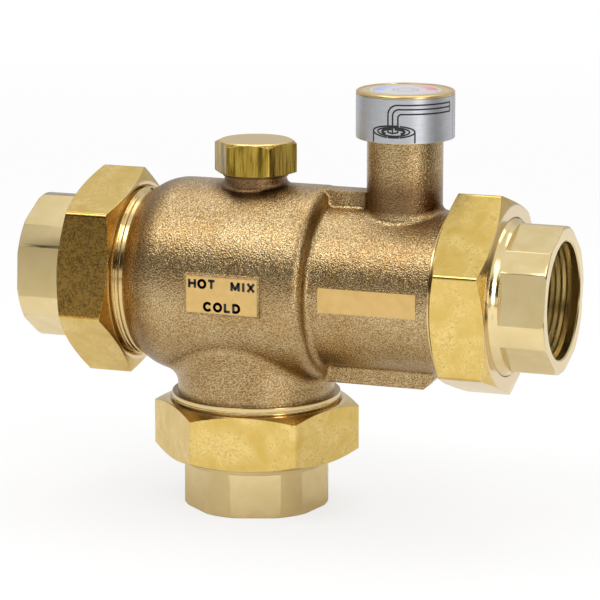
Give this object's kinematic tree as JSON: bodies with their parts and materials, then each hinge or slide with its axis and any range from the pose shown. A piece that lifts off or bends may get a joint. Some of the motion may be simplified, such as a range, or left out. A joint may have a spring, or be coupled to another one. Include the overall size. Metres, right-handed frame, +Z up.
{
  "type": "thermostatic mixing valve",
  "caption": "Cast three-port thermostatic mixing valve with hexagon union nuts, threaded tailpieces, capped adjusting stem and an inner shuttle moved by a wax capsule.",
  "frame": {"origin": "centre of the cold port's mouth, which the valve can stand on; the run axis lies 88.7 mm above it", "axes": "+X along the run towards the mixed port, -X towards the hot port, -Z out of the cold port, +Z up the adjusting tower, -Y the labelled front"},
  "size_m": [0.212, 0.0769, 0.1652],
  "materials": {
    "cast_bronze": "sand cast, bead blasted",
    "nut_brass": "forged yellow brass, tumbled",
    "tail_brass": "turned, bright",
    "plug_brass": "turned, dull",
    "inner_brass": "turned",
    "spring_steel": "drawn wire",
    "seal_rubber": "moulded",
    "gasket_fibre": "pressed fibre gasket",
    "washer_copper": "soft copper",
    "cage_plastic": "moulded, natural",
    "cap_band_metal": "printed foil",
    "dial_print": "printed film",
    "label_foil": "printed foil label",
    "cap_brass": "turned, satin"
  },
  "bodies": {
    "valve": {"valve_body": "cast_bronze", "hot_tailpiece": "tail_brass", "mix_tailpiece": "tail_brass", "cold_tailpiece": "tail_brass", "hot_gasket": "gasket_fibre", "mix_gasket": "gasket_fibre", "cold_gasket": "gasket_fibre", "access_plug": "plug_brass", "plug_washer": "washer_copper", "port_label": "label_foil", "strip_label": "label_foil", "guide_cage": "cage_plastic", "cage_ring_hot": "seal_rubber", "cage_ring_cold": "seal_rubber", "cage_clip": "spring_steel", "gland_bush": "inner_brass"},
    "hot_nut": {"hot_union_nut": "nut_brass"},
    "mix_nut": {"mix_union_nut": "nut_brass"},
    "cold_nut": {"cold_union_nut": "nut_brass"},
    "cap": {"cap_shell": "cap_brass", "cap_grip": "cage_plastic", "cap_band": "cap_band_metal", "dial_disc": "dial_print"},
    "stem": {"adjusting_stem": "inner_brass", "stem_ring_lower": "seal_rubber", "stem_ring_upper": "seal_rubber", "stem_clip": "spring_steel"},
    "yoke": {"carrier": "inner_brass", "capsule_piston": "spring_steel", "spring_cup": "spring_steel", "overload_spring": "spring_steel", "spring_screw": "inner_brass"},
    "shuttle": {"spool": "inner_brass", "spool_ring": "seal_rubber", "wax_capsule": "inner_brass", "return_spring": "spring_steel"}
  },
  "joints": [
    {"name": "hot_nut_spin", "type": "hinge", "parent": "valve", "child": "hot_nut", "pos_m": [-0.058, 0, 0.0887], "axis": [-1, 0, 0], "continuous": true},
    {"name": "mix_nut_spin", "type": "hinge", "parent": "valve", "child": "mix_nut", "pos_m": [0.092, 0, 0.0887], "axis": [1, 0, 0], "continuous": true},
    {"name": "cold_nut_spin", "type": "hinge", "parent": "valve", "child": "cold_nut", "pos_m": [0, 0, 0.031], "axis": [0, 0, -1], "continuous": true},
    {"name": "cap_lift", "type": "slide", "parent": "valve", "child": "cap", "axis": [0, 0, 1], "range_m": [0, 0.04]},
    {"name": "stem_turn", "type": "hinge", "parent": "valve", "child": "stem", "pos_m": [0.0602, 0, 0.14], "axis": [0, 0, 1], "range_deg": [-90, 90]},
    {"name": "carrier_shift", "type": "slide", "parent": "valve", "child": "yoke", "axis": [1, 0, 0], "range_m": [-0.0016, 0.0016]},
    {"name": "spool_shift", "type": "slide", "parent": "yoke", "child": "shuttle", "axis": [1, 0, 0], "range_m": [-0.0012, 0.0012], "deforming": ["return_spring"]}
  ],
  "couplings": [
    {"joint": "carrier_shift", "follows": "stem_turn", "m_per_rad": 0.00095493}
  ]
}
